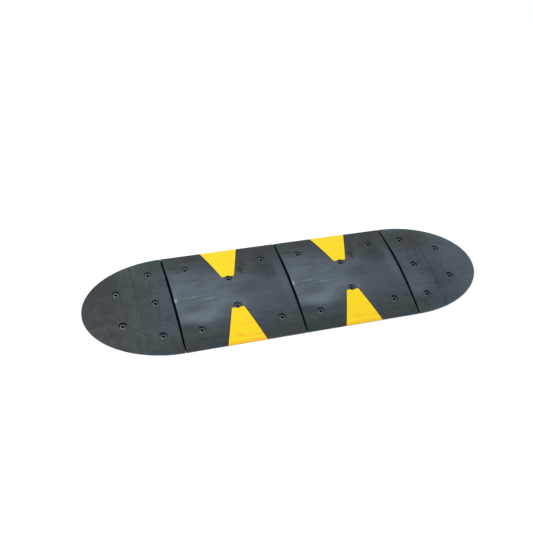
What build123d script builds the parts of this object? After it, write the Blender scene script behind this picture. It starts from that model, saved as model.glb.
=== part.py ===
from build123d import *
import math
import os

# A modular rubber speed bump: two arched middle sections between two half-oval end caps.
# +X runs along the row of sections, +Y across it (the way traffic drives), +Z up from the road.
# The origin lies on the road, halfway along the row and halfway across it. Millimetres.

# The row of sections
PITCH = 500.0  # from seam to seam; one middle section with its share of the gap
WIDTH = 480.0  # across the row
HEIGHT = 30.0  # at the crown
LIP = 4.0  # height of the upright outer edge
CAP_LENGTH = 360.0  # from a cap's seam to its tip
SEAM_GAP = 1.5  # open joint between two neighbouring mouldings
SEAM_ROUND = 3.5  # rounding of the moulding's edges at a seam

# Bolt holes, each counterbored for a socket wrench over an M12 washer
HOLE_RADIUS = 6.5
COUNTERBORE_RADIUS = 15.0
COUNTERBORE_DEPTH = 8.0  # below the surface over the hole's centre
WASHER_RADIUS = 12.0
WASHER_THICKNESS = 2.5
WASHER_BED = 1.5  # how deep the washer is moulded into the counterbore's floor

# Where the bolt holes are
CORNER_SPACING_X = 333.0
OUTER_SPACING_Y = 310.0  # shared by a middle section's corner holes and a cap's seam-side pair
INNER_SPACING_Y = 140.0  # the pair on a middle section's centre line
CAP_ROW_X = 70.0  # a cap's three seam-side holes, from its seam
CAP_TIP_X = 214.0  # a cap's tip-side pair, from its seam
CAP_TIP_SPACING_Y = 158.0

# Yellow wedge panels, widest at the long edges and pointing at the crown
PANEL_THICKNESS = 2.0
PANEL_EDGE_HALF = 81.0
PANEL_TIP_HALF = 26.5
PANEL_TIP_Y = 80.0
PANEL_ROAD_GAP = 1.0  # the panel's turned-down edge stops short of the road

# Dovetail lugs that key each moulding into the next, hidden under the surface
LUG_Y = 100.0  # one lug each side of the crown
LUG_REACH = 24.0  # past the seam's middle plane
LUG_HEIGHT = 10.0
LUG_ROOT_HALF = 25.0
LUG_TIP_HALF = 32.0
LUG_ROOT_DEPTH = 6.0  # how far the lug's root runs back into its own moulding
LUG_CLEARANCE = 0.8

# Waffle of hollows under each moulding
CELL_PITCH_X = 50.0
CELL_PITCH_Y = 51.5
CELL_COLUMNS = 8  # of a middle section
CELL_ROWS = 8
CELL_RIB = 8.0
CELL_DEPTH = 8.0
CELL_ROUND = 5.0
CELL_ROOF = 10.0  # least rubber left above a hollow
BOSS_RADIUS = 22.0  # solid rubber kept around each bolt hole
CAP_RIB_X = 70.0  # the cap's first cross rib, from its seam
CAP_COLUMNS = 4

HALF_WIDTH = WIDTH / 2
ARCH_RADIUS = (HALF_WIDTH**2 + (HEIGHT - LIP) ** 2) / (2 * (HEIGHT - LIP))
ARCH_CENTRE_Z = HEIGHT - ARCH_RADIUS
CAP_STRETCH = CAP_LENGTH / HALF_WIDTH
EPSILON = 1e-3
TALL = 2 * HEIGHT  # height of a cutter that passes right through


def arch_height(reach, inset=0.0):
    """Height of the arch at a distance from the crown, on a surface lying inset below the top."""
    return ARCH_CENTRE_Z + math.sqrt((ARCH_RADIUS - inset) ** 2 - reach**2)


def middle_height(x, y):
    return arch_height(abs(y))


def cap_height(x, y):
    """Height of the cap's dome, with x from the seam. The dome is the arch swept round and stretched."""
    return arch_height(math.hypot(x / CAP_STRETCH, y))


def arch_bar(inset, length):
    """A straight bar of the arch's cross-section, its top and long edges drawn in by inset."""
    half = HALF_WIDTH - inset
    edge = arch_height(half, inset)
    outline = Polyline((half, edge), (half, 0), (-half, 0), (-half, edge))
    outline += ThreePointArc((-half, edge), (0, HEIGHT - inset), (half, edge))
    return Pos(-length / 2, 0, 0) * extrude(Plane.YZ * make_face(outline), amount=length)


def round_seam_edges(body, seam_x):
    """Round the edges of the end face at x = seam_x, apart from the one on the road."""
    edges = body.edges().filter_by(
        lambda edge: abs(edge.center().X - seam_x) < EPSILON and edge.center().Z > EPSILON
    )
    return fillet(edges, SEAM_ROUND)


def half_dome():
    """The cap's plain body: a round shallow dome, cut off at the seam and stretched to an oval."""
    outline = Polyline((0, HEIGHT), (0, 0), (HALF_WIDTH, 0), (HALF_WIDTH, LIP))
    mid = HALF_WIDTH / 2
    outline += ThreePointArc((HALF_WIDTH, LIP), (mid, arch_height(mid)), (0, HEIGHT))
    dome = revolve(Plane.XZ * make_face(outline), axis=Axis.Z)
    seam_x = SEAM_GAP / 2 / CAP_STRETCH
    keep = Box(WIDTH, 2 * WIDTH, TALL, align=(Align.MIN, Align.CENTER, Align.MIN))
    rounded = round_seam_edges(dome & Pos(seam_x, 0, 0) * keep, seam_x)
    return scale(rounded, by=(CAP_STRETCH, 1, 1))


def lug(grow):
    """A dovetail pointing along +X from the plane x = 0, enlarged by grow for its socket."""
    root = LUG_ROOT_HALF + grow
    tip = LUG_TIP_HALF + grow
    left_side = [(-LUG_ROOT_DEPTH, root), (0, root), (LUG_REACH + grow, tip)]
    right_side = [(x, -y) for x, y in reversed(left_side)]
    outline = Polyline(left_side + right_side, close=True)
    return extrude(make_face(outline), amount=LUG_HEIGHT + grow, dir=(0, 0, 1))


def lug_pair(x, grow=0.0):
    return Part() + [Pos(x, side * LUG_Y, 0) * lug(grow) for side in (-1, 1)]


def bolt_hole(x, y, height):
    """Cutter for one hole: through bore, washer bed and counterbore."""
    floor = height - COUNTERBORE_DEPTH
    up = (Align.CENTER, Align.CENTER, Align.MIN)
    cutter = Cylinder(HOLE_RADIUS, TALL)
    cutter += Pos(0, 0, floor - WASHER_BED) * Cylinder(WASHER_RADIUS, TALL, align=up)
    cutter += Pos(0, 0, floor) * Cylinder(COUNTERBORE_RADIUS, TALL, align=up)
    return Pos(x, y, 0) * cutter


def washer(x, y, height):
    ring = Circle(WASHER_RADIUS) - Circle(HOLE_RADIUS)
    return Pos(x, y, height - COUNTERBORE_DEPTH - WASHER_BED) * extrude(ring, amount=WASHER_THICKNESS)


def cell_middles(count, pitch):
    """Middles of a run of cells that is itself centred on zero."""
    return [(number + 0.5 - count / 2) * pitch for number in range(count)]


def hollows(columns, holes, height):
    """The waffle's cells: every one that keeps clear of the bolt holes and under enough rubber."""
    half_x = (CELL_PITCH_X - CELL_RIB) / 2
    half_y = (CELL_PITCH_Y - CELL_RIB) / 2
    cell = extrude(RectangleRounded(2 * half_x, 2 * half_y, CELL_ROUND), amount=CELL_DEPTH)
    cells = []
    for x in columns:
        for y in cell_middles(CELL_ROWS, CELL_PITCH_Y):
            far_x, far_y = abs(x) + half_x, abs(y) + half_y
            roof_ok = height(far_x, far_y) - CELL_DEPTH >= CELL_ROOF
            gaps = [
                math.hypot(max(abs(x - hole_x) - half_x, 0), max(abs(y - hole_y) - half_y, 0))
                for hole_x, hole_y in holes
            ]
            if roof_ok and min(gaps) >= BOSS_RADIUS:
                cells.append(Pos(x, y, 0) * cell)
    return cells


def panel(side):
    """One yellow wedge, let into the surface and turned down over the lip of the long edge."""
    wedge = Polyline(
        (-PANEL_EDGE_HALF, side * HALF_WIDTH),
        (-PANEL_TIP_HALF, side * PANEL_TIP_Y),
        (PANEL_TIP_HALF, side * PANEL_TIP_Y),
        (PANEL_EDGE_HALF, side * HALF_WIDTH),
        close=True,
    )
    prism = Pos(0, 0, PANEL_ROAD_GAP) * extrude(make_face(wedge), amount=TALL, dir=(0, 0, 1))
    skin = arch_bar(0, PITCH) - arch_bar(PANEL_THICKNESS, 2 * PITCH)
    return skin & prism


MIDDLE_HOLES = [
    (sx * CORNER_SPACING_X / 2, sy * OUTER_SPACING_Y / 2) for sx in (-1, 1) for sy in (-1, 1)
] + [(0, sy * INNER_SPACING_Y / 2) for sy in (-1, 1)]
CAP_HOLES = [(CAP_ROW_X, y) for y in (-OUTER_SPACING_Y / 2, 0, OUTER_SPACING_Y / 2)] + [
    (CAP_TIP_X, sy * CAP_TIP_SPACING_Y / 2) for sy in (-1, 1)
]


def middle_section():
    """A middle moulding about its own centre: sockets at its -X end, lugs at its +X end."""
    length = PITCH - SEAM_GAP
    body = arch_bar(0, length)
    for end in (-1, 1):
        body = round_seam_edges(body, end * length / 2)
    columns = cell_middles(CELL_COLUMNS, CELL_PITCH_X)
    body -= hollows(columns, MIDDLE_HOLES, middle_height)
    body -= [bolt_hole(x, y, middle_height(x, y)) for x, y in MIDDLE_HOLES]
    body -= lug_pair(-PITCH / 2, LUG_CLEARANCE)
    body += lug_pair(PITCH / 2)
    return body


def end_cap(sockets):
    """A cap whose seam lies at x = 0 and whose tip points along +X, with sockets or with lugs."""
    body = half_dome()
    columns = [CAP_RIB_X + (column + 0.5) * CELL_PITCH_X for column in range(CAP_COLUMNS)]
    body -= hollows(columns, CAP_HOLES, cap_height)
    body -= [bolt_hole(x, y, cap_height(x, y)) for x, y in CAP_HOLES]
    if sockets:
        return body - lug_pair(0, LUG_CLEARANCE)
    return body + mirror(lug_pair(0), about=Plane.YZ)


def build_nodes():
    nodes = {}
    section = middle_section()
    holes_cut = Part() + [bolt_hole(x, y, middle_height(x, y)) for x, y in MIDDLE_HOLES]
    panels = {"front": panel(-1), "rear": panel(1)}
    body = section - list(panels.values())
    for place, x in (("left", -PITCH / 2), ("right", PITCH / 2)):
        nodes[f"middle_section_{place}"] = Pos(x, 0, 0) * body
        for side, wedge in panels.items():
            nodes[f"yellow_panel_{place}_{side}"] = Pos(x, 0, 0) * (wedge - holes_cut)
        for number, (hole_x, hole_y) in enumerate(MIDDLE_HOLES, 1):
            ring = washer(hole_x, hole_y, middle_height(hole_x, hole_y))
            nodes[f"washer_middle_{place}_{number}"] = Pos(x, 0, 0) * ring
    for place, turn in (("left", 180), ("right", 0)):
        where = Rot(0, 0, turn) * Pos(PITCH, 0, 0)
        nodes[f"end_cap_{place}"] = where * end_cap(sockets=place == "right")
        for number, (hole_x, hole_y) in enumerate(CAP_HOLES, 1):
            ring = washer(hole_x, hole_y, cap_height(hole_x, hole_y))
            nodes[f"washer_cap_{place}_{number}"] = where * ring
    return nodes


os.makedirs("parts", exist_ok=True)
for node, shape in build_nodes().items():
    export_step(shape, f"parts/{node}.step")
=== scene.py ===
import math

import bpy
import numpy as np
from mathutils import Matrix, Vector, noise
from mathutils.geometry import delaunay_2d_cdt


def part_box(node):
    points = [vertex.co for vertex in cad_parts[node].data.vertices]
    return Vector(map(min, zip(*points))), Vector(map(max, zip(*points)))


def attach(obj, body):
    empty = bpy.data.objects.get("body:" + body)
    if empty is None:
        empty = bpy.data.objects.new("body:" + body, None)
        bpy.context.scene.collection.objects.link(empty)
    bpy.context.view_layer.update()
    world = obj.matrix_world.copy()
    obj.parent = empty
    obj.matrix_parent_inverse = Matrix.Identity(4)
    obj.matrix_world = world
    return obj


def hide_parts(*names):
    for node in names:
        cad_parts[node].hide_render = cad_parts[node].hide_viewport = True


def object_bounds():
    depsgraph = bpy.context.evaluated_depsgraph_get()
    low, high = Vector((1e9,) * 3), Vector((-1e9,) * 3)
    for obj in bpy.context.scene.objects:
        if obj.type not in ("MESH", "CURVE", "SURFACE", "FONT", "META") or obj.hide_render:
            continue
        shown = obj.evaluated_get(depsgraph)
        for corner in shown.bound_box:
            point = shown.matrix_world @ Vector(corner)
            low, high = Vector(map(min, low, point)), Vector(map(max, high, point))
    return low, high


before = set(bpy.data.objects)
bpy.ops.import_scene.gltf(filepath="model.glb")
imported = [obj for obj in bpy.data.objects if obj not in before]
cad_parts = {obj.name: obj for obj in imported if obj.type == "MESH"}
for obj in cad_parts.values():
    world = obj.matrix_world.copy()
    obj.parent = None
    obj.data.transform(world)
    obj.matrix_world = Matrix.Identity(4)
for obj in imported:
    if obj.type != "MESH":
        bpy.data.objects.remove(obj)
cad_low, cad_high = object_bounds()

# The visible mouldings, panels and washers are built here in fine mesh, to the CAD model's sizes.
# Lengths are in metres. A moulding is laid out flat as one triangulation, which its top and its
# underside share, so each moulding is one closed mesh.

MM = 0.001
HAIR = 0.02 * MM  # keeps the fine mesh just inside the CAD model's box
SIDES = (("left", -1), ("right", 1))

# Sizes that the frame gives
HEIGHT = cad_high.z
HALF_WIDTH = cad_high.y - HAIR


def node_centre(node):
    low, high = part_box(node)
    return (low + high) / 2


PITCH = node_centre("yellow_panel_right_front").x - node_centre("yellow_panel_left_front").x
CAP_LENGTH = min(cad_high.x, -cad_low.x) - PITCH - HAIR
PANEL_LOW, PANEL_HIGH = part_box("yellow_panel_right_rear")
PANEL_EDGE_HALF = (PANEL_HIGH.x - PANEL_LOW.x) / 2
PANEL_TIP_Y = PANEL_LOW.y
PANEL_FOOT = PANEL_LOW.z
WASHER_LOW, WASHER_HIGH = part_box("washer_middle_right_1")
WASHER_RADIUS = (WASHER_HIGH.x - WASHER_LOW.x) / 2
WASHER_THICKNESS = WASHER_HIGH.z - WASHER_LOW.z

# The mouldings' other sizes
LIP = 4 * MM
SEAM_GAP = 1.5 * MM
SEAM_ROUND = 3.5 * MM
LIP_ROUND = 1.2 * MM
COUNTERBORE_RADIUS = 15 * MM
COUNTERBORE_DEPTH = 8 * MM
WASHER_BED = 1.5 * MM
BED_STEP = 0.1 * MM  # width of the step down into the washer's bed
BORE_RADIUS = 6.5 * MM
RIM_ROUND = 1.1 * MM
FLOOR_ROUND = 0.8 * MM
DRAFT = 0.2 * MM  # how far a steep moulded wall leans over its height
RIM_RADIUS = COUNTERBORE_RADIUS + DRAFT
PANEL_TIP_HALF = 26.5 * MM
PANEL_THICKNESS = 2 * MM
PANEL_CLEARANCE = 0.3 * MM
PANEL_ROUND = 0.5 * MM
WASHER_ROLL = 0.5 * MM
WASHER_BEVEL = 0.15 * MM
LUG_Y = 100 * MM
LUG_REACH = 24 * MM
LUG_HEIGHT = 10 * MM
LUG_ROOT_HALF = 25 * MM
LUG_TIP_HALF = 32 * MM
LUG_CLEARANCE = 0.8 * MM
CELL_PITCH = (50 * MM, 51.5 * MM)
CELL_HALF = (21 * MM, 21.75 * MM)
CELL_DEPTH = 8 * MM
CELL_ROUND = 5 * MM
CELL_ROOF = 10 * MM
CELL_LEAN = 0.5 * MM
CELL_COLUMNS = 8  # of a middle section
CELL_ROWS = 8
CAP_COLUMNS = 4
CAP_RIB_X = 70 * MM
BOSS_RADIUS = 22 * MM

ARCH_RADIUS = (HALF_WIDTH**2 + (HEIGHT - LIP) ** 2) / (2 * (HEIGHT - LIP))
ARCH_CENTRE_Z = HEIGHT - ARCH_RADIUS
CAP_STRETCH = CAP_LENGTH / HALF_WIDTH
HALF_SECTION = (PITCH - SEAM_GAP) / 2

# The unevenness of the surface
BROAD_WAVE = 0.35 * MM
BROAD_RATE = 9  # features in a metre
FINE_WAVE = 0.09 * MM
FINE_RATE = 45
WAVE_FADE = 30 * MM  # the waves die out over this distance toward the lip
PANEL_CREASE = 0.12 * MM
CREASE_RATES = (14, 75)  # along X and along Y, so the creases run lengthwise
CREASE_FADE = 6 * MM

# Fineness of the meshes
GRID = 5 * MM  # spacing of the plain surface's points
PANEL_GRID = 3.5 * MM
ROW_RATIO = 0.87  # spacing of a grid's rows over that of its columns
GRID_MARGIN = 4 * MM  # the grid stops this far from a moulding's edges
EDGE_STEP = 3 * MM  # spacing of points along outlines
LIP_INSETS = tuple(inset * MM for inset in (0.1, 0.35, 0.7, 1.2, 2.2, 3.6, 5.2, 7.0))
SEAM_TURNS = (25, 45, 60, 75, 90)  # degrees round a middle section's seam-side edge
PANEL_INSETS = tuple(inset * MM for inset in (0.03, 0.12, 0.28, 0.5, 1.0, 2.0))
PANEL_LINES = (0.05 * MM, 0.2 * MM, 0.5 * MM, LIP_ROUND, PANEL_THICKNESS, PANEL_THICKNESS + DRAFT, 3 * MM)
RING_POINTS = 56
NOTCH_POINTS = 96
OVAL_POINTS = 401
HOLE_MARGIN = COUNTERBORE_RADIUS + 3.5 * MM  # the grid keeps this far from a hole's axis
SHARP_ANGLE = math.radians(32)
SNAP = 1e-7  # points nearer than this are one point
SLACK = 1e-6  # for a triangle whose middle may lie on a hole's edge
LEAST_AREA = 1e-14

# Dirt, painted shade and wear
SEAM_SHADE = 6.5 * MM  # how far the dirt and painted shade in a seam reach over the rounded edge, at the crown
SEAM_NARROWING = 150 * MM  # from the long edges inward, over which that reach grows
SECTION_HOLE_SHADE_AND_DIRT = 0.3  # how dark the counterbores are painted, with shade and dirt
CAP_HOLE_SHADE_AND_DIRT = 0.65
HALO = 14 * MM  # how far the dirt and painted shade round a counterbore reach
RIM_WEAR = 1.5 * MM  # how far the wear on a counterbore's rim reaches past it
LIP_WEAR = 2.5 * MM
PANEL_SHADE = 0.6  # painted shade under the panels and in the crack round them
PANEL_SHADE_REACH = 2 * MM


# Shape functions. Each takes arrays of x and y in a moulding's own frame.


def arch(reach, inset=0.0):
    return ARCH_CENTRE_Z + np.sqrt((ARCH_RADIUS - inset) ** 2 - reach**2)


def rounding(distance, radius):
    """How far a rounded edge falls below its flat surface, at a distance in from the edge."""
    gap = np.clip(radius - distance, 0, radius)
    return radius - np.sqrt(np.maximum(radius**2 - gap**2, 0))


def ramp(distance, width):
    return np.clip(distance / width, 0, 1)


def waves(x, y, shift):
    """Gentle unevenness of a rubber moulding that has lain in the yard."""
    out = np.empty(len(x))
    for i, (px, py) in enumerate(zip(x, y)):
        broad = noise.noise(Vector((px * BROAD_RATE + shift, py * BROAD_RATE, 0)))
        fine = noise.noise(Vector((px * FINE_RATE, py * FINE_RATE + shift, 3)))
        out[i] = BROAD_WAVE * broad + FINE_WAVE * fine
    return out


class Wedge:
    """The flat outline of a yellow panel: side is -1 for the front one and 1 for the rear one."""

    def __init__(self, side):
        self.side = side
        slope = (PANEL_EDGE_HALF - PANEL_TIP_HALF) / (HALF_WIDTH - PANEL_TIP_Y)
        self.slope = slope
        self.scale = 1 / math.hypot(1, slope)

    def depth(self, x, y):
        """Distance inside the wedge's two long sides and its tip, and negative outside."""
        reach = self.side * y
        half = PANEL_TIP_HALF + self.slope * (reach - PANEL_TIP_Y)
        return np.minimum((half - np.abs(x)) * self.scale, reach - PANEL_TIP_Y)

    def loop(self, inset, past=0.0):
        """The outline drawn in by inset, with its wide end moved past the long edge."""
        tip_y = PANEL_TIP_Y + inset
        end_y = HALF_WIDTH + past
        halves = [
            PANEL_TIP_HALF + self.slope * (y - PANEL_TIP_Y) - inset / self.scale for y in (tip_y, end_y)
        ]
        corners = [(-halves[1], end_y), (-halves[0], tip_y), (halves[0], tip_y), (halves[1], end_y)]
        return [(x, self.side * y) for x, y in corners]


WEDGES = {"front": Wedge(-1), "rear": Wedge(1)}


def turned_down(y):
    """Where a panel turns down over the lip."""
    return np.abs(y) > HALF_WIDTH - PANEL_THICKNESS + DRAFT / 2


def dovetail(tip_x, grow=0.0, root_x=0.0):
    """Corners of a lug that starts at root_x and ends at tip_x, both along +X from the seam."""
    return [
        (root_x, LUG_ROOT_HALF + grow),
        (0, LUG_ROOT_HALF + grow),
        (tip_x + grow, LUG_TIP_HALF + grow),
        (tip_x + grow, -LUG_TIP_HALF - grow),
        (0, -LUG_ROOT_HALF - grow),
        (root_x, -LUG_ROOT_HALF - grow),
    ]


def dovetail_depth(x, y, grow):
    """Distance inside a socket's end and slanted sides, with x measured into the moulding."""
    end = LUG_REACH + grow - x
    half = LUG_ROOT_HALF + grow + (LUG_TIP_HALF - LUG_ROOT_HALF) * np.clip(x / LUG_REACH, 0, 1)
    return np.minimum(end, half - np.abs(np.abs(y) - LUG_Y))


# Layout of points and lines


def resample(loop, step, closed=True):
    """The same polygon with points at most step apart."""
    out = []
    ends = loop[1:] + loop[:1] if closed else loop[1:]
    for (ax, ay), (bx, by) in zip(loop, ends):
        count = max(1, math.ceil(math.hypot(bx - ax, by - ay) / step))
        out += [(ax + (bx - ax) * i / count, ay + (by - ay) * i / count) for i in range(count)]
    return out if closed else out + [loop[-1]]


def circle(x, y, radius, count=RING_POINTS):
    turns = [math.tau * i / count for i in range(count)]
    return [(x + radius * math.cos(t), y + radius * math.sin(t)) for t in turns]


def rounded_box(half_x, half_y, radius, corner_points=6):
    out = []
    for sx, sy, start in ((1, 1, 0), (-1, 1, 90), (-1, -1, 180), (1, -1, 270)):
        for i in range(corner_points + 1):
            t = math.radians(start + 90 * i / corner_points)
            out.append(
                (sx * (half_x - radius) + radius * math.cos(t), sy * (half_y - radius) + radius * math.sin(t))
            )
    return out


def inset_loop(loop, distance):
    """The loop with each point moved inward along its normal. The loop runs anticlockwise."""
    out = []
    for i, (x, y) in enumerate(loop):
        (ax, ay), (bx, by) = loop[i - 1], loop[(i + 1) % len(loop)]
        dx, dy = bx - ax, by - ay
        length = math.hypot(dx, dy)
        out.append((x - dy / length * distance, y + dx / length * distance))
    return out


def inside_loop(loop, x, y):
    """Which points lie inside a polygon, by crossings of a ray along +X."""
    inside = np.zeros(len(x), bool)
    for (ax, ay), (bx, by) in zip(loop, loop[1:] + loop[:1]):
        if ay == by:
            continue
        crosses = (ay > y) != (by > y)
        inside ^= crosses & (x < ax + (y - ay) * (bx - ax) / (by - ay))
    return inside


class Plan:
    """Points and lines of a moulding seen from above."""

    def __init__(self):
        self.points = []
        self.lines = []

    def scatter(self, points):
        self.points += points

    def scatter_lip(self, outline):
        """Rows of points close inside the outline, for the rounded lip."""
        for inset in LIP_INSETS:
            self.scatter(inset_loop(outline, inset))

    def loop(self, loop):
        start = len(self.points)
        self.points += loop
        self.lines += [(start + i, start + (i + 1) % len(loop)) for i in range(len(loop))]

    def line(self, line):
        start = len(self.points)
        self.points += line
        self.lines += [(start + i, start + i + 1) for i in range(len(line) - 1)]

    def triangles(self, inside):
        """The triangulation's points and those of its triangles whose middle is inside the moulding."""
        vectors = [Vector(p) for p in self.points]
        points, _, faces, *_ = delaunay_2d_cdt(vectors, self.lines, [], 0, SNAP, False)
        flat = np.array([tuple(p) for p in points])
        faces = np.array(faces)
        middle = flat[faces].mean(axis=1)
        faces = faces[inside(middle[:, 0], middle[:, 1])]
        used, faces = np.unique(faces, return_inverse=True)
        faces = faces.reshape(-1, 3)
        flat = flat[used]
        a, b, c = (flat[faces[:, i]] for i in range(3))
        area = (b[:, 0] - a[:, 0]) * (c[:, 1] - a[:, 1]) - (b[:, 1] - a[:, 1]) * (c[:, 0] - a[:, 0])
        faces[area < 0] = faces[area < 0][:, ::-1]
        return flat, faces[np.abs(area) > LEAST_AREA]


def closed_mesh(name, flat, faces, top, bottom, grime_and_shade, wear):
    """A closed mesh from one triangulation: a top, an underside and the walls between them."""
    count = len(flat)
    verts = np.vstack([np.column_stack([flat, top]), np.column_stack([flat, bottom])])
    edges = np.vstack([faces[:, [0, 1]], faces[:, [1, 2]], faces[:, [2, 0]]])
    back = {(b, a) for a, b in edges.tolist()}
    rim = [(a, b) for a, b in edges.tolist() if (a, b) not in back]
    walls = [(a, a + count, b + count, b) for a, b in rim]
    quads = faces.tolist() + (faces[:, ::-1] + count).tolist() + walls
    mesh = bpy.data.meshes.new(name)
    mesh.from_pydata(verts.tolist(), [], quads)
    mesh.validate()
    # grime_and_shade holds dirt together with painted shade in the seams, the counterbores and round the
    # panels
    for label, values in (("grime_and_shade", grime_and_shade), ("wear", wear)):
        layer = mesh.attributes.new(label, "FLOAT", "POINT")
        layer.data.foreach_set("value", np.tile(values, 2).astype(np.float32))
    mesh.shade_smooth()
    mesh.set_sharp_from_angle(angle=SHARP_ANGLE)
    return mesh


def grid_points(half_x, half_y, step, start_x=None):
    """A staggered grid, which triangulates into nearly equal triangles."""
    low_x = -half_x if start_x is None else start_x
    rows = int(2 * half_y / (step * ROW_RATIO))
    columns = int((half_x - low_x) / step)
    out = []
    for row in range(rows + 1):
        y = -half_y + 2 * half_y * row / rows
        for column in range(columns + 1):
            out.append((low_x + (column + 0.5 * (row % 2)) * step, y))
    return out


# Bolt holes. A hole is (x, y, height of the surface over its centre).

HOLE_RINGS = [
    BORE_RADIUS,
    (BORE_RADIUS + WASHER_RADIUS) / 2,
    WASHER_RADIUS,
    WASHER_RADIUS + BED_STEP,
    (WASHER_RADIUS + COUNTERBORE_RADIUS) / 2,
]
HOLE_RINGS += [COUNTERBORE_RADIUS - FLOOR_ROUND * (1 - math.sin(math.radians(t))) for t in (0, 30, 60, 90)]
HOLE_RINGS += [RIM_RADIUS + RIM_ROUND * (1 - math.cos(math.radians(t))) for t in range(0, 91, 15)]
HOLE_RINGS.append(RIM_RADIUS + RIM_ROUND + RIM_WEAR)


def cut_holes(x, y, surface, holes):
    """Lowers the surface into each counterbore, down to its floor and its washer's bed."""
    out = surface.copy()
    for hole_x, hole_y, height in holes:
        r = np.hypot(x - hole_x, y - hole_y)
        near = r < RIM_RADIUS + RIM_ROUND
        floor = height - COUNTERBORE_DEPTH
        rim = surface - rounding(r - RIM_RADIUS, RIM_ROUND)
        wall = floor + FLOOR_ROUND
        wall = wall + (rim - wall) * ramp(r - COUNTERBORE_RADIUS, DRAFT)
        inner = floor + rounding(COUNTERBORE_RADIUS - r, FLOOR_ROUND)
        bed = floor - WASHER_BED * ramp(WASHER_RADIUS + BED_STEP - r, BED_STEP)
        level = np.where(r > RIM_RADIUS - SNAP, rim, wall)
        level = np.where(r < COUNTERBORE_RADIUS + SNAP, inner, level)
        level = np.where(r < COUNTERBORE_RADIUS - FLOOR_ROUND, bed, level)
        out[near] = level[near]
    return out


def seam_shade_and_dirt(distance, y):
    """Dirt and painted shade along a seam, from its distance in. It narrows toward the long edges."""
    reach = SEAM_SHADE * (0.5 + 0.5 * ramp(HALF_WIDTH - np.abs(y), SEAM_NARROWING))
    return ramp(reach - distance, reach / 2)


def hole_marks(x, y, holes, dirt):
    """Dirt and painted shade in and around each counterbore, and wear on its rim."""
    grime_and_shade, wear = np.zeros(len(x)), np.zeros(len(x))
    for hole_x, hole_y, _ in holes:
        r = np.hypot(x - hole_x, y - hole_y)
        outside = r - RIM_RADIUS
        wall = ramp(outside + 1.2 * MM, 0.8 * MM)
        # Painted shade and dirt on each counterbore's wall and round its washer, and a faint painted shade
        # round the outside of its rim
        inner = dirt * np.maximum(wall, ramp(WASHER_RADIUS + 1 * MM - r, 0.6 * MM))
        around = 0.07 * ramp(HALO - outside, HALO) + 0.2 * ramp(RIM_ROUND - outside, RIM_ROUND)
        grime_and_shade = np.maximum(grime_and_shade, np.where(outside < SNAP, inner, around))
        worn = ramp(outside, RIM_ROUND / 2) * ramp(RIM_ROUND + RIM_WEAR - outside, RIM_WEAR)
        wear = np.maximum(wear, worn)
    return grime_and_shade, wear


def hole_layout(plan, holes):
    for hole_x, hole_y, _ in holes:
        for radius in HOLE_RINGS:
            plan.loop(circle(hole_x, hole_y, radius))


def keep_clear(points, holes):
    return [
        p for p in points if all(math.hypot(p[0] - hx, p[1] - hy) > HOLE_MARGIN for hx, hy, _ in holes)
    ]


def outside_bores(x, y, holes):
    area = np.ones(len(x), bool)
    for hole_x, hole_y, _ in holes:
        area &= np.hypot(x - hole_x, y - hole_y) > BORE_RADIUS - SLACK
    return area


# The waffle of hollows in the underside


def cell_middles(count, pitch):
    """Middles of a run of cells that is itself centred on zero."""
    return [(number + 0.5 - count / 2) * pitch for number in range(count)]


def cell_centres(columns, holes, height):
    """The cells that keep clear of the bolt holes and lie under enough rubber."""
    out = []
    half_x, half_y = CELL_HALF
    for x in columns:
        for y in cell_middles(CELL_ROWS, CELL_PITCH[1]):
            roof = height(np.array([abs(x) + half_x]), np.array([abs(y) + half_y]))[0] - CELL_DEPTH
            gaps = [
                math.hypot(max(abs(x - hx) - half_x, 0), max(abs(y - hy) - half_y, 0)) for hx, hy, _ in holes
            ]
            if roof >= CELL_ROOF and min(gaps) >= BOSS_RADIUS:
                out.append((x, y))
    return out


def cell_layout(plan, cells):
    for x, y in cells:
        for lean in (0, CELL_LEAN):
            half_x, half_y = (half - lean for half in CELL_HALF)
            loop = rounded_box(half_x, half_y, CELL_ROUND - lean, 4)
            plan.loop([(x + px, y + py) for px, py in loop])


def cell_ceiling(x, y, cells):
    out = np.zeros(len(x))
    for cell_x, cell_y in cells:
        qx = np.abs(x - cell_x) - (CELL_HALF[0] - CELL_ROUND)
        qy = np.abs(y - cell_y) - (CELL_HALF[1] - CELL_ROUND)
        outer = np.hypot(np.maximum(qx, 0), np.maximum(qy, 0)) + np.minimum(np.maximum(qx, qy), 0)
        out = np.maximum(out, CELL_DEPTH * ramp(CELL_ROUND - outer, CELL_LEAN))
    return out


# Lugs and sockets, shared by the middle sections and the caps


def lug_layout(plan, seam_x, face_x, direction):
    """A pair of lugs past the end face, pointing along direction (1 for +X, -1 for -X)."""
    for side in (-1, 1):
        corners = dovetail(LUG_REACH, root_x=(face_x - seam_x) * direction)
        loop = [(seam_x + direction * x, side * LUG_Y + y) for x, y in corners]
        plan.loop(resample(loop, EDGE_STEP))
        face = face_x + direction * DRAFT
        plan.line([(face, side * LUG_Y - LUG_ROOT_HALF), (face, side * LUG_Y + LUG_ROOT_HALF)])


def lug_area(seam_x, face_x, direction, x, y):
    inside = np.zeros(len(x), bool)
    for side in (-1, 1):
        corners = dovetail(LUG_REACH, root_x=(face_x - seam_x) * direction)
        inside |= inside_loop([(seam_x + direction * px, side * LUG_Y + py) for px, py in corners], x, y)
    return inside


def socket_layout(plan, seam_x, direction):
    """A pair of sockets that run from the seam into the moulding along direction."""
    for side in (-1, 1):
        for lean in (0, DRAFT):
            corners = dovetail(LUG_REACH, LUG_CLEARANCE - lean, root_x=-5 * MM)
            line = [(seam_x + direction * x, side * LUG_Y + y) for x, y in corners]
            plan.line(resample(line, EDGE_STEP, closed=False))


def socket_ceiling(seam_x, direction, x, y):
    depth = dovetail_depth(direction * (x - seam_x), y, LUG_CLEARANCE)
    return (LUG_HEIGHT + LUG_CLEARANCE) * ramp(depth, DRAFT)


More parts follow.
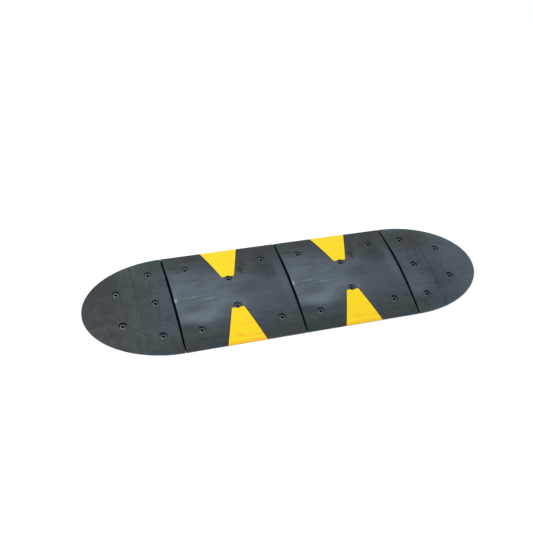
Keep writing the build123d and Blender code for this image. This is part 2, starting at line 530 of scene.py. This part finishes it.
def holes_at(prefix, count, origin_x, turn, height):
    """A moulding's holes from its washers' places, in the moulding's own frame."""
    out = []
    for number in range(1, count + 1):
        centre = node_centre(f"{prefix}_{number}")
        x, y = turn * (centre.x - origin_x), turn * centre.y
        out.append((x, y, float(height(np.array([x]), np.array([y]))[0])))
    return out


# Middle section, about its own centre


def middle_surface(x, y):
    return arch(np.abs(y))


def build_middle_section():
    holes = holes_at("washer_middle_right", 6, PITCH / 2, 1, middle_surface)
    cells = cell_centres(cell_middles(CELL_COLUMNS, CELL_PITCH[0]), holes, middle_surface)
    outline = resample(rounded_box(HALF_SECTION, HALF_WIDTH, SEAM_ROUND, 5), EDGE_STEP)
    plan = Plan()
    plan.loop(outline)
    for degrees in SEAM_TURNS:
        inset = SEAM_ROUND * (1 - math.cos(math.radians(degrees))) * 0.98
        plan.scatter(inset_loop(outline, inset))
    plan.scatter_lip(outline)
    hole_layout(plan, holes)
    cell_layout(plan, cells)
    lug_layout(plan, PITCH / 2, HALF_SECTION, 1)
    socket_layout(plan, -PITCH / 2, 1)
    for wedge in WEDGES.values():
        for inset in (0, DRAFT):
            plan.line(resample(wedge.loop(inset, 2 * MM), EDGE_STEP, closed=False))
        for y in (HALF_WIDTH - PANEL_THICKNESS, HALF_WIDTH - PANEL_THICKNESS + DRAFT):
            half = PANEL_EDGE_HALF - 0.5 * MM
            plan.line(resample([(-half, wedge.side * y), (half, wedge.side * y)], EDGE_STEP, closed=False))
    grid = grid_points(HALF_SECTION - GRID_MARGIN, HALF_WIDTH - GRID_MARGIN, GRID)
    plan.scatter(keep_clear(grid, holes))

    def inside(x, y):
        area = inside_loop(outline, x, y) | lug_area(PITCH / 2, HALF_SECTION, 1, x, y)
        return area & outside_bores(x, y, holes)

    flat, faces = plan.triangles(inside)
    x, y = flat.T
    top = middle_surface(x, y) + waves(x, y, 0.0) * ramp(HALF_WIDTH - np.abs(y), WAVE_FADE)
    top = np.minimum(top, HEIGHT)
    top -= rounding(HALF_SECTION - np.abs(x), SEAM_ROUND) + rounding(HALF_WIDTH - np.abs(y), LIP_ROUND)
    for wedge in WEDGES.values():
        sunk = np.where(turned_down(y), PANEL_FOOT, arch(np.abs(y), PANEL_THICKNESS))
        top += (sunk - top) * ramp(wedge.depth(x, y), DRAFT)
    top = cut_holes(x, y, top, holes)
    top = np.where(x > HALF_SECTION + DRAFT / 2, LUG_HEIGHT, top)
    bottom = np.maximum(cell_ceiling(x, y, cells), socket_ceiling(-PITCH / 2, 1, x, y))
    grime_and_shade, wear = hole_marks(x, y, holes, SECTION_HOLE_SHADE_AND_DIRT)
    # Painted shade and dirt along the seams' rounded edges
    grime_and_shade = np.maximum(grime_and_shade, seam_shade_and_dirt(HALF_SECTION - np.abs(x), y))
    # Painted shade in the crack round each panel
    for wedge in WEDGES.values():
        crack = ramp(wedge.depth(x, y) + PANEL_SHADE_REACH, PANEL_SHADE_REACH)
        grime_and_shade = np.maximum(grime_and_shade, PANEL_SHADE * crack)
    wear = np.maximum(wear, ramp(LIP_WEAR - HALF_WIDTH + np.abs(y), LIP_WEAR))
    return closed_mesh("middle_section", flat, faces, top, bottom, grime_and_shade, wear)


def build_panel(side):
    """A yellow panel in its middle section's frame."""
    wedge = WEDGES[side]
    holes = holes_at("washer_middle_right", 6, PITCH / 2, 1, middle_surface)
    hole_x, hole_y, _ = next(h for h in holes if abs(h[0]) < MM and h[1] * wedge.side > 0)
    notch = RIM_RADIUS
    plan = Plan()
    plan.loop(resample(wedge.loop(PANEL_CLEARANCE), EDGE_STEP))
    for inset in PANEL_INSETS:
        plan.scatter(resample(wedge.loop(PANEL_CLEARANCE + inset), EDGE_STEP, closed=False))
        plan.scatter(circle(hole_x, hole_y, notch + inset, NOTCH_POINTS))
    plan.loop(circle(hole_x, hole_y, notch, NOTCH_POINTS))
    for back in PANEL_LINES:
        y = wedge.side * (HALF_WIDTH - back)
        plan.line(resample([(-PANEL_EDGE_HALF, y), (PANEL_EDGE_HALF, y)], EDGE_STEP, closed=False))
    grid = grid_points(PANEL_EDGE_HALF, HALF_WIDTH - GRID_MARGIN, PANEL_GRID)
    plan.scatter([p for p in grid if wedge.side * p[1] > PANEL_TIP_Y])

    def inside(x, y):
        area = inside_loop(wedge.loop(PANEL_CLEARANCE), x, y)
        return area & (np.hypot(x - hole_x, y - hole_y) > notch - SLACK)

    flat, faces = plan.triangles(inside)
    x, y = flat.T
    edge = np.minimum(wedge.depth(x, y) - PANEL_CLEARANCE, np.hypot(x - hole_x, y - hole_y) - notch)
    along, across = CREASE_RATES
    creases = np.array(
        [noise.noise(Vector((px * along + 40 * wedge.side, py * across, 7))) for px, py in zip(x, y)]
    )
    top = middle_surface(x, y) + waves(x, y, 0.0) * ramp(HALF_WIDTH - np.abs(y), WAVE_FADE)
    top += PANEL_CREASE * creases * ramp(edge, CREASE_FADE)
    top -= rounding(edge, PANEL_ROUND) + rounding(HALF_WIDTH - np.abs(y), LIP_ROUND)
    bottom = np.where(turned_down(y), PANEL_FOOT, arch(np.abs(y), PANEL_THICKNESS)) + HAIR
    # Painted shade along the panel's edge, where it drops into the crack
    grime_and_shade = ramp(0.8 * MM - edge, 0.8 * MM)
    return closed_mesh(f"yellow_panel_{side}", flat, faces, top, bottom, grime_and_shade, 0 * grime_and_shade)


# End cap, with its seam at x = 0 and its tip along +X


def cap_surface(x, y):
    return arch(np.minimum(np.hypot(x / CAP_STRETCH, y), HALF_WIDTH))


def cap_lip_distance(x, y):
    """Roughly how far a point lies in from the oval edge."""
    oval = np.sqrt((x / CAP_LENGTH) ** 2 + (y / HALF_WIDTH) ** 2)
    slope = np.hypot(x / CAP_LENGTH**2, y / HALF_WIDTH**2) / np.maximum(oval, 1e-9)
    return (1 - oval) / np.maximum(slope, 1e-9)


def cap_outline():
    face = SEAM_GAP / 2
    turns = np.linspace(-math.pi / 2, math.pi / 2, OVAL_POINTS)
    oval = [(CAP_LENGTH * math.cos(t), HALF_WIDTH * math.sin(t)) for t in turns]
    oval = [p for p in oval if p[0] > face + SEAM_ROUND * CAP_STRETCH]
    corner = []
    for i in range(6):
        t = math.radians(90 * i / 5)
        inset = (SEAM_ROUND * CAP_STRETCH * (1 - math.sin(t)), SEAM_ROUND * (1 - math.cos(t)))
        corner.append((face + inset[0], HALF_WIDTH - inset[1]))
    lower = [(x, -y) for x, y in reversed(corner)]
    return resample(oval + corner + lower, EDGE_STEP)


def build_end_cap(place, sockets):
    turn = 1 if place == "right" else -1
    face = SEAM_GAP / 2
    holes = holes_at(f"washer_cap_{place}", 5, turn * PITCH, turn, cap_surface)
    columns = [CAP_RIB_X + (column + 0.5) * CELL_PITCH[0] for column in range(CAP_COLUMNS)]
    cells = cell_centres(columns, holes, cap_surface)
    outline = cap_outline()
    plan = Plan()
    plan.loop(outline)
    plan.scatter_lip(outline)
    hole_layout(plan, holes)
    cell_layout(plan, cells)
    if sockets:
        socket_layout(plan, 0, 1)
    else:
        lug_layout(plan, 0, face, -1)
    grid = [
        p
        for p in grid_points(CAP_LENGTH, HALF_WIDTH, GRID, face + GRID_MARGIN)
        if cap_lip_distance(np.array([p[0]]), np.array([p[1]]))[0] > GRID_MARGIN
    ]
    plan.scatter(keep_clear(grid, holes))

    def inside(x, y):
        area = inside_loop(outline, x, y)
        if not sockets:
            area |= lug_area(0, face, -1, x, y)
        return area & outside_bores(x, y, holes)

    flat, faces = plan.triangles(inside)
    x, y = flat.T
    lip = cap_lip_distance(np.maximum(x, 0), y)
    top = cap_surface(x, y) + waves(x, y, 5.0 + turn) * ramp(lip, WAVE_FADE)
    top = np.minimum(top, HEIGHT)
    top -= rounding((x - face) / CAP_STRETCH, SEAM_ROUND) + rounding(lip, LIP_ROUND)
    top = cut_holes(x, y, top, holes)
    if sockets:
        bottom = np.maximum(cell_ceiling(x, y, cells), socket_ceiling(0, 1, x, y))
    else:
        top = np.where(x < face - DRAFT / 2, LUG_HEIGHT, top)
        bottom = cell_ceiling(x, y, cells)
    grime_and_shade, wear = hole_marks(x, y, holes, CAP_HOLE_SHADE_AND_DIRT)
    # Painted shade and dirt along the seam's rounded edge
    grime_and_shade = np.maximum(grime_and_shade, seam_shade_and_dirt(x - face, y))
    wear = np.maximum(wear, ramp(LIP_WEAR - lip, LIP_WEAR))
    return closed_mesh(f"end_cap_{place}", flat, faces, top, bottom, grime_and_shade, wear)


# Washers


def build_washer():
    """A stamped washer about its own axis, its edges rolled on one side by the punch."""
    half = WASHER_THICKNESS / 2
    roll = WASHER_ROLL
    profile = []
    for radius, sign in ((BORE_RADIUS, -1), (WASHER_RADIUS, 1)):
        arc = [math.radians(90 * i / 4) for i in range(5)]
        top = [(radius - sign * roll * (1 - math.cos(t)), half - roll * (1 - math.sin(t))) for t in arc]
        edge = [(radius, -half + WASHER_BEVEL), (radius - sign * WASHER_BEVEL, -half)]
        profile += edge[::-1] + top if sign < 0 else top[::-1] + edge
    verts, faces = [], []
    count = len(profile)
    for i in range(RING_POINTS):
        t = math.tau * i / RING_POINTS
        verts += [(r * math.cos(t), r * math.sin(t), z) for r, z in profile]
        for j in range(count):
            a, b = i * count + j, i * count + (j + 1) % count
            step = count if i < RING_POINTS - 1 else count - RING_POINTS * count
            faces.append((a, b, b + step, a + step))
    mesh = bpy.data.meshes.new("washer")
    mesh.from_pydata(verts, [], faces)
    mesh.shade_smooth()
    mesh.set_sharp_from_angle(angle=SHARP_ANGLE)
    return mesh


# Materials


class Shader:
    """A material's nodes. Each method adds nodes and returns their output."""

    def __init__(self, name, metallic=0.0):
        self.material = bpy.data.materials.new(name)
        self.material.use_nodes = True
        self.tree = self.material.node_tree
        self.principled = self.tree.nodes["Principled BSDF"]
        self.principled.inputs["Metallic"].default_value = metallic
        self.place = self.add("TexCoord").outputs["Object"]
        split = self.add("SeparateXYZ")
        self.feed(split.inputs[0], self.place)
        self.x, self.y = split.outputs[0], split.outputs[1]

    def add(self, kind):
        return self.tree.nodes.new("ShaderNode" + kind)

    def feed(self, socket, value):
        if isinstance(value, bpy.types.NodeSocket):
            self.tree.links.new(value, socket)
        elif socket.type == "RGBA":
            socket.default_value = (*value, 1)
        else:
            socket.default_value = value

    def set(self, **inputs):
        for name, value in inputs.items():
            self.feed(self.principled.inputs[name.replace("_", " ")], value)

    def math(self, operation, *values):
        node = self.add("Math")
        node.operation = operation
        for socket, value in zip(node.inputs, values):
            self.feed(socket, value)
        return node.outputs[0]

    def product(self, *values):
        out = values[0]
        for value in values[1:]:
            out = self.math("MULTIPLY", out, value)
        return out

    def total(self, *values):
        out = values[0]
        for value in values[1:]:
            out = self.math("ADD", out, value)
        return out

    def spread(self, value, low, high, start=0.0, end=1.0):
        """Goes smoothly from start to end while value goes from low to high."""
        node = self.add("MapRange")
        node.interpolation_type = "SMOOTHSTEP"
        flip = low > high
        limits = (high, low, end, start) if flip else (low, high, start, end)
        for socket, number in zip(node.inputs, (value, *limits)):
            self.feed(socket, number)
        return node.outputs[0]

    def moved(self, location=(0, 0, 0), scale=(1, 1, 1)):
        node = self.add("Mapping")
        self.feed(node.inputs["Vector"], self.place)
        node.inputs["Location"].default_value = location
        node.inputs["Scale"].default_value = scale
        return node.outputs[0]

    def noise(self, size, detail=3.0, stretch=1.0, shift=0.0, rough=0.55):
        """Noise about 0.5 whose features are about size across and stretch times that along X."""
        node = self.add("TexNoise")
        self.feed(node.inputs["Vector"], self.moved((shift, shift, shift), (1 / stretch, 1, 1)))
        node.inputs["Scale"].default_value = 1 / size
        node.inputs["Detail"].default_value = detail
        node.inputs["Roughness"].default_value = rough
        return node.outputs[0]

    def specks(self, pitch, size, shift=0.0):
        """Sparse round dots, one at most in each cell of the given pitch."""
        node = self.add("TexVoronoi")
        self.feed(node.inputs["Vector"], self.moved((shift, shift, shift)))
        node.inputs["Scale"].default_value = 1 / pitch
        chosen = self.spread(self.noise(pitch * 3, 1.0, shift=shift + 5), 0.52, 0.62)
        return self.product(self.spread(node.outputs["Distance"], size / pitch, size / pitch / 2), chosen)

    def blot(self, x, y, half_x, half_y):
        """A soft oval mark: 1 at its middle and 0 outside it."""
        scale = (1 / half_x, 1 / half_y, 0)
        node = self.add("VectorMath")
        node.operation = "LENGTH"
        self.feed(node.inputs[0], self.moved((-x / half_x, -y / half_y, 0), scale))
        return self.spread(node.outputs["Value"], 1.0, 0.15)

    def mark(self, x, y, half_x, half_y, *strengths):
        return self.product(self.blot(x, y, half_x, half_y), *strengths)

    def painted(self, name):
        """A value stored on the mesh by the function that builds it."""
        node = self.add("Attribute")
        node.attribute_name = name
        return node.outputs["Fac"]

    def blend(self, factor, first, second):
        node = self.add("Mix")
        node.data_type = "RGBA"
        self.feed(node.inputs[0], factor)
        self.feed(node.inputs[6], first)
        self.feed(node.inputs[7], second)
        return node.outputs[2]

    def tint(self, factor, tint):
        """Colours over what is already there."""
        colour = self.principled.inputs["Base Color"].links[0].from_socket
        self.set(Base_Color=self.blend(factor, colour, tint))

    def bump(self, height, distance):
        node = self.add("Bump")
        node.inputs["Distance"].default_value = distance
        self.feed(node.inputs["Height"], height)
        self.set(Normal=node.outputs[0])


RUBBER_DEEP = (0.0105, 0.0185, 0.0215)
RUBBER_DUSTY = (0.093, 0.118, 0.141)
RUBBER_BLACK = (0.002, 0.0024, 0.0026)
DUST_PALE = (0.24, 0.27, 0.29)
STAIN_BROWN = (0.0155, 0.0125, 0.0075)
SPOT_RED = (0.30, 0.10, 0.05)
YELLOW = (0.80, 0.58, 0.006)
YELLOW_RUBBED_AND_SHADED = (0.78, 0.41, 0.012)
YELLOW_SPECKLE = (0.6, 0.36, 0.01)
YELLOW_EDGE_SHADE = (0.06, 0.04, 0.01)
STEEL_CLEAN = (0.17, 0.195, 0.21)
STEEL_DIRTY = (0.075, 0.084, 0.088)
FLOOR_SHADE_UNDER = (0.045, 0.045, 0.045)
RUBBER_SHEEN = 0.35
CAP_DUST = {"left": -0.06, "right": 0.03}  # how much dustier each cap is than an even film
TIP_DUST = {"left": -0.2, "right": 0.2}  # and how much dustier still at its tip


def finish_rubber(s, dust):
    """Turns a dustiness into the moulding's colour, sheen and grain. Below 0 it is black, above 1 pale."""
    grime_and_shade, wear = s.painted("grime_and_shade"), s.painted("wear")
    grain = s.noise(2.2 * MM, 2.0)
    level = s.total(dust, s.spread(grain, 0.25, 0.75, -0.035, 0.035))
    colour = s.blend(level, RUBBER_DEEP, RUBBER_DUSTY)
    colour = s.blend(s.math("SUBTRACT", level, 1.0), colour, DUST_PALE)
    colour = s.blend(s.product(level, -3.0), colour, RUBBER_BLACK)
    colour = s.blend(s.product(s.specks(13 * MM, 1.3 * MM), 0.6), colour, DUST_PALE)
    colour = s.blend(s.product(wear, s.spread(s.noise(9 * MM), 0.35, 0.7), 0.25), colour, DUST_PALE)
    # Dirt and painted shade from the mesh darken the rubber toward black and take its sheen away
    colour = s.blend(s.math("MINIMUM", grime_and_shade, 1.0), colour, RUBBER_BLACK)
    clean_and_unshaded = s.math("SUBTRACT", 1.0, grime_and_shade)
    s.set(
        Base_Color=colour,
        Roughness=s.total(0.5, s.product(level, 0.25), s.spread(s.noise(30 * MM), 0.3, 0.7, -0.08, 0.08)),
        Specular_IOR_Level=s.product(clean_and_unshaded, RUBBER_SHEEN),
    )
    s.bump(s.total(s.product(grain, 0.5), s.noise(0.8 * MM, 1.0)), 0.12 * MM)


def section_dust(s):
    """The film of dust on a middle section, thickest at the crown and the socket end, wiped lengthwise."""
    crown = s.spread(s.math("ABSOLUTE", s.y), 0.25, 0.03)
    near_socket_end = s.spread(s.x, 0.19, -0.12, 0.42, 1.0)
    cloud = s.spread(s.noise(80 * MM, 4.0, 1.5), 0.28, 0.72, 0.66, 1.34)
    patches = s.spread(s.noise(26 * MM, 3.0, 1.8, 7.0), 0.3, 0.7, -0.045, 0.045)
    wipes = s.spread(s.noise(12 * MM, 4.0, 16.0), 0.3, 0.7, -0.05, 0.05)
    wiped = s.total(0.5, s.product(near_socket_end, 0.5))
    return s.total(s.product(crown, near_socket_end, cloud, 0.62), patches, s.product(wipes, wiped))


def section_scuffs(s):
    """Dustier marks: broad rubbed patches, a scrape in the socket end's middle, streaks along the crown."""
    broken = s.spread(s.noise(10 * MM, 2.0, 2.5, 3.0), 0.4, 0.56)
    scraped = s.spread(s.noise(7 * MM, 3.0), 0.3, 0.6, 0.5, 1.0)
    return s.total(
        s.mark(-0.16, -0.1, 0.13, 0.045, 0.6),
        s.mark(-0.17, 0.115, 0.09, 0.035, 0.16),
        s.mark(-0.07, -0.03, 0.14, 0.09, 0.28),
        s.mark(0.225, 0.02, 0.026, 0.18, 0.18),
        s.mark(-0.244, -0.007, 0.013, 0.017, scraped, 2.0),
        s.mark(-0.242, -0.01, 0.018, 0.06, 0.25),
        s.mark(-0.17, -0.003, 0.13, 0.009, broken, 0.42),
        s.mark(-0.13, -0.018, 0.12, 0.008, broken, 0.38),
        s.mark(0.032, -0.068, 0.012, 0.02, 0.35),
    )


def section_bare_marks(s):
    """How much dust is missing: patches near the corner holes, and lines along the crown's streaks.

    The rear corner at the lug end is a little barer too, and the front slope there a little dustier.
    """
    lug_end_corner = s.product(s.spread(s.x, 0.05, 0.2), s.spread(s.y, 0.0, 0.2))
    front_slope = s.product(s.spread(s.y, -0.06, -0.15), s.spread(s.x, -0.1, 0.1))
    return s.total(
        s.mark(-0.125, 0.214, 0.05, 0.028, 0.26),
        s.mark(-0.215, -0.142, 0.06, 0.03, 0.22),
        s.mark(-0.2, 0.17, 0.05, 0.02, 0.12),
        s.mark(0.15, 0.09, 0.08, 0.08, 0.16),
        s.mark(-0.14, -0.010, 0.13, 0.006, 0.2),
        s.mark(0.06, -0.007, 0.13, 0.012, 0.09),
        s.mark(0.16, 0.16, 0.06, 0.05, 0.08),
        s.product(lug_end_corner, 0.06),
        s.product(front_slope, -0.06),
    )


def section_stain(s):
    """A brown stain beside the rear panel's tip, with weaker ones near it."""
    stain = s.total(
        s.blot(0.060, 0.108, 0.022, 0.034),
        s.mark(0.083, 0.15, 0.026, 0.06, 0.55),
        s.mark(-0.055, 0.13, 0.03, 0.06, 0.2),
    )
    return s.product(stain, s.spread(s.noise(13 * MM, 4.0, 0.8, 3.0), 0.22, 0.56), 1.5)


def section_rubber():
    s = Shader("section_rubber")
    dusted = s.total(section_dust(s), section_scuffs(s))
    finish_rubber(s, s.math("SUBTRACT", dusted, section_bare_marks(s)))
    s.tint(section_stain(s), STAIN_BROWN)
    return s.material


def cap_dust(s, place, shift):
    """The caps' film of dust. It is even, with the ribs underneath showing through as faint lines."""
    reach = s.math("ABSOLUTE", s.y)
    cloud = s.spread(s.noise(110 * MM, 3.0, shift=shift), 0.28, 0.72, 0.13, 0.26)
    mottle = s.spread(s.noise(12 * MM, 3.0, shift=4.0), 0.3, 0.7, -0.05, 0.05)
    speckle = s.spread(s.noise(4.5 * MM, 2.0, shift=6.0), 0.3, 0.7, -0.1, 0.1)
    near_seam = s.product(s.spread(s.x, 0.13, 0.02), s.spread(reach, 0.19, 0.13, -0.05, 0.1))
    tip = s.spread(s.x, 0.14, 0.30, 0.0, TIP_DUST[place])
    smears = s.spread(s.noise(45 * MM, 3.0, 0.6, 12.0), 0.5, 0.7, 0.0, -0.08)
    faint = s.spread(s.noise(60 * MM, 2.0, shift=9.0), 0.3, 0.5)
    ribs = s.total(
        rib_line(s, s.x, CAP_RIB_X + 1.35 * CELL_PITCH[0], 1.0),
        rib_line(s, s.x, CAP_RIB_X + 2.55 * CELL_PITCH[0], 0.6),
        rib_line(s, reach, 2.15 * CELL_PITCH[1], 0.8),
    )
    dust = s.total(CAP_DUST[place], cloud, mottle, speckle, near_seam, tip, smears)
    return s.total(dust, s.product(ribs, faint, -0.13))


def right_cap_marks(s):
    """A dusty patch at the seam's front half, and barer ones in the middle and at the rear."""
    return s.total(
        s.mark(0.04, -0.10, 0.11, 0.09, 0.24),
        s.mark(0.13, 0.01, 0.09, 0.10, -0.05),
        s.mark(0.10, 0.16, 0.16, 0.09, -0.24),
    )


def cap_rubber(place, shift):
    s = Shader(f"cap_rubber_{place}")
    dust = cap_dust(s, place, shift)
    if place == "right":
        dust = s.total(dust, right_cap_marks(s))
    finish_rubber(s, dust)
    if place == "left":
        s.tint(s.blot(0.085, -0.109, 0.005, 0.004), SPOT_RED)
    return s.material


def rib_line(s, along, middle, strength):
    """A soft line where a rib underneath has drawn the surface in."""
    off = s.math("ABSOLUTE", s.math("SUBTRACT", along, middle))
    return s.spread(off, 6 * MM, 1.5 * MM, 0.0, strength)


def yellow_rubber():
    """Bright yellow with orange, strongest at the front: two bands of lengthwise rub marks and painted crease
    shadows, and the long edge, faded and painted with the shade of its slope turned from the light.
    """
    s = Shader("yellow_rubber")
    reach = s.math("ABSOLUTE", s.y)
    front = s.spread(s.y, 0.01, -0.01)
    # Lengthwise rub marks together with painted crease shadows
    rubs_and_crease_shade = s.spread(s.noise(13 * MM, 2.5, 6.0, 1.0), 0.44, 0.66)
    bands = [
        s.spread(s.math("ABSOLUTE", s.math("SUBTRACT", reach, middle)), half, 4 * MM)
        for middle, half in ((0.155, 14 * MM), (0.205, 16 * MM))
    ]
    # The long edge's orange is partly fading and partly painted shade of the edge turned from the light
    edge = s.spread(reach, 0.222, 0.236)
    orange = s.math("MINIMUM", s.total(s.product(rubs_and_crease_shade, s.total(*bands), 0.95), s.product(edge, 0.75)), 1.0)
    orange = s.total(s.product(orange, s.total(s.product(front, 0.8), 0.2)), s.product(front, 0.06))
    grain = s.noise(2.0 * MM, 2.0)
    colour = s.blend(orange, YELLOW, YELLOW_RUBBED_AND_SHADED)
    colour = s.blend(s.spread(grain, 0.3, 0.7, 0.0, 0.06), colour, YELLOW_SPECKLE)
    # Painted shade along the panels' edges
    colour = s.blend(s.product(s.painted("grime_and_shade"), 0.7), colour, YELLOW_EDGE_SHADE)
    s.set(
        Base_Color=colour,
        Roughness=s.spread(s.noise(25 * MM), 0.3, 0.7, 0.42, 0.6),
        Specular_IOR_Level=0.2,
    )
    s.bump(s.total(s.product(grain, 0.5), s.noise(0.9 * MM, 1.0)), 0.08 * MM)
    return s.material


def washer_steel():
    """Dull dark steel, turned in fine rings and stained by the yard's dirt."""
    s = Shader("washer_steel", metallic=1.0)
    dirt = s.spread(s.noise(5 * MM, 3.0), 0.35, 0.7)
    rings = s.noise(0.7 * MM, 2.0)
    s.set(
        Base_Color=s.blend(dirt, STEEL_CLEAN, STEEL_DIRTY),
        Roughness=s.spread(dirt, 0, 1, 0.5, 0.7),
    )
    s.bump(rings, 0.05 * MM)
    return s.material


# Placing the pieces


def place_piece(name, mesh, material, location, turn, node):
    piece = bpy.data.objects.new(name, mesh)
    bpy.context.scene.collection.objects.link(piece)
    piece.location = location
    piece.rotation_euler.z = turn
    if material.name not in mesh.materials:
        mesh.materials.append(material)
    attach(piece, "root")
    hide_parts(node)
    return piece


def build_object():
    middle_rubber = section_rubber()
    yellow, steel = yellow_rubber(), washer_steel()
    section = build_middle_section()
    panels = {side: build_panel(side) for side in WEDGES}
    washer = build_washer()
    for place, sign in SIDES:
        x = sign * PITCH / 2
        node = f"middle_section_{place}"
        place_piece(f"{node}_rubber", section, middle_rubber, (x, 0, 0), 0, node)
        for side, mesh in panels.items():
            node = f"yellow_panel_{place}_{side}"
            place_piece(f"{node}_inlay", mesh, yellow, (x, 0, 0), 0, node)
        turn = 0 if sign > 0 else math.pi
        node = f"end_cap_{place}"
        cap = build_end_cap(place, sockets=sign > 0)
        end_rubber = cap_rubber(place, PITCH * sign)
        place_piece(f"{node}_rubber", cap, end_rubber, (sign * PITCH, 0, 0), turn, node)
    for node in [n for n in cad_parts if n.startswith("washer_")]:
        place_piece(f"{node}_ring", washer, steel, node_centre(node), 0, node)


# Floor, light and camera

VIEW_AZIMUTH = math.radians(-25.5)
VIEW_ELEVATION = math.radians(48.8)
VIEW_ROLL = math.radians(11.6)
VIEW_DISTANCE = 3.502
VIEW_AIM = Vector((-0.0645, 0.1247, 0))
LENS = 55.56
FLOOR_HALF = 8.0
KEY_PLACE = (-1.6, 1.0, 3.0)
KEY_SIZE = (2.4, 1.6)
KEY_POWER = 45
SKY = (0.96, 0.98, 1.0, 1)


def build_floor():
    """A plain pale floor, with painted shade where the mouldings cover it, which shows down the bolt holes.
    """
    mesh = bpy.data.meshes.new("floor")
    signs = ((-1, -1), (1, -1), (1, 1), (-1, 1))
    mesh.from_pydata([(sx * FLOOR_HALF, sy * FLOOR_HALF, 0) for sx, sy in signs], [], [(0, 1, 2, 3)])
    floor = bpy.data.objects.new("floor", mesh)
    bpy.context.scene.collection.objects.link(floor)
    s = Shader("pale_floor")
    pale = s.blend(s.noise(0.4, 3.0), (0.93, 0.93, 0.93), (0.95, 0.95, 0.95))
    far_x, far_y = s.math("ABSOLUTE", s.x), s.math("ABSOLUTE", s.y)
    # Painted shade on the floor under the mouldings
    within_caps = s.spread(s.total(far_x, s.product(far_y, 1.2)), 0.84, 0.82)
    painted_shade_under = s.product(within_caps, s.spread(far_y, 0.19, 0.18))
    s.set(Base_Color=s.blend(painted_shade_under, pale, FLOOR_SHADE_UNDER), Roughness=0.9, Specular_IOR_Level=0.2)
    mesh.materials.append(s.material)


def build_key_light():
    """A large soft lamp that points at the origin."""
    light = bpy.data.lights.new("key", "AREA")
    light.shape = "RECTANGLE"
    light.size, light.size_y = KEY_SIZE
    light.energy = KEY_POWER
    lamp = bpy.data.objects.new("key", light)
    bpy.context.scene.collection.objects.link(lamp)
    lamp.location = KEY_PLACE
    lamp.rotation_euler = (-Vector(KEY_PLACE)).to_track_quat("-Z", "Y").to_euler()


def build_lights():
    world = bpy.data.worlds.new("studio")
    bpy.context.scene.world = world
    world.use_nodes = True
    background = world.node_tree.nodes["Background"]
    background.inputs["Color"].default_value = SKY
    background.inputs["Strength"].default_value = 1.0
    build_key_light()


def build_camera():
    flat = math.cos(VIEW_ELEVATION)
    back = Vector((math.sin(VIEW_AZIMUTH) * flat, -math.cos(VIEW_AZIMUTH) * flat, math.sin(VIEW_ELEVATION)))
    right = Vector((math.cos(VIEW_AZIMUTH), math.sin(VIEW_AZIMUTH), 0))
    upright = Matrix((right, back.cross(right), back)).transposed()
    turn = upright @ Matrix.Rotation(VIEW_ROLL, 3, "Z")
    camera = bpy.data.cameras.new("camera")
    camera.lens = LENS
    eye = bpy.data.objects.new("camera", camera)
    bpy.context.scene.collection.objects.link(eye)
    eye.location = VIEW_AIM + back * VIEW_DISTANCE
    eye.rotation_euler = turn.to_euler()
    bpy.context.scene.camera = eye


build_object()
build_floor()
build_lights()
build_camera()
bpy.context.scene.view_settings.view_transform = "Standard"
